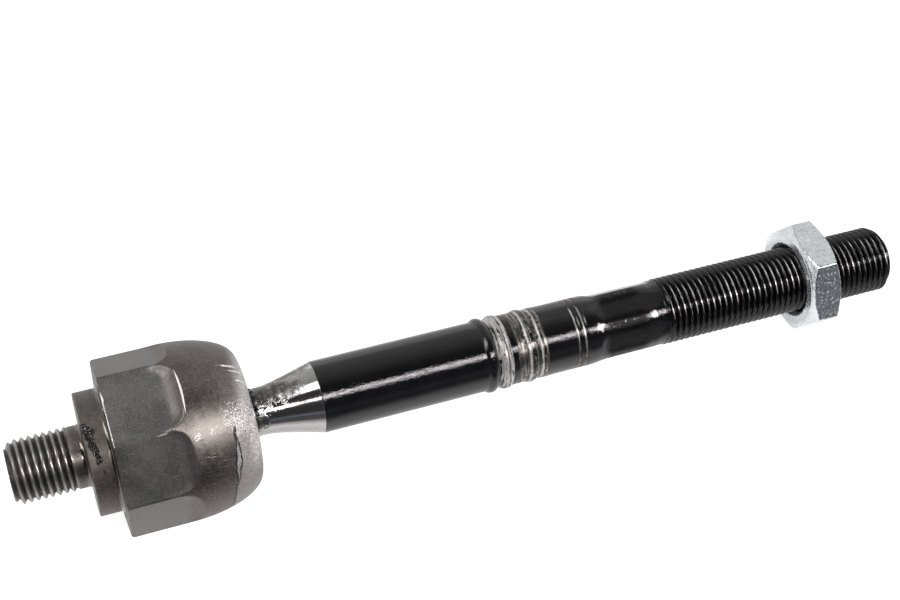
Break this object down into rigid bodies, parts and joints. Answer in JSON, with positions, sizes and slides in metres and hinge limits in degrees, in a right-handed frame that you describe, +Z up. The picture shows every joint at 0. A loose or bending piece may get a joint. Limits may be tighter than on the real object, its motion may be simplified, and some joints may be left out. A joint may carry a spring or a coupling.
{
  "type": "inner tie rod",
  "caption": "Inner tie rod: octagonal ball socket with a threaded stud, a black swinging rod with bellows ridges, a wrench hexagon and a threaded end, and a hex lock nut.",
  "frame": {"origin": "Middle of the bounding box, on the surface that the part lies on.", "axes": "+X from the rack stud towards the rod's threaded end, seen from above; +Z up. The part lies on the belly of its dome and one flat of its nut, so the rod's axis dips 2.8 degrees towards +X."},
  "size_m": [0.212, 0.0392, 0.0391],
  "materials": {
    "housing": "dark worn steel, scratched, with grease",
    "bearing_seat": "natural plastic",
    "disc_spring": "oiled spring steel",
    "ball_rod": "glossy black paint with orange peel, scraped on the ridges",
    "lock_nut": "bright zinc plating"
  },
  "bodies": {
    "socket": {"housing": "housing", "disc_spring": "disc_spring"},
    "seat": {"bearing_seat": "bearing_seat"},
    "rod": {"ball_rod": "ball_rod"},
    "nut": {"lock_nut": "lock_nut"}
  },
  "joints": [
    {"name": "seat_turn", "type": "hinge", "parent": "socket", "child": "seat", "pos_m": [-0.06607, 0, 0.01945], "axis": [0.9988, 0, -0.0484], "continuous": true},
    {"name": "rod_swing", "type": "hinge", "parent": "seat", "child": "rod", "pos_m": [-0.06607, 0, 0.01945], "axis": [0, 1, 0], "range_deg": [-22, 22]},
    {"name": "nut_travel", "type": "slide", "parent": "rod", "child": "nut", "axis": [0.9988, 0, -0.0484], "range_m": [-0.034, 0.015]}
  ]
}
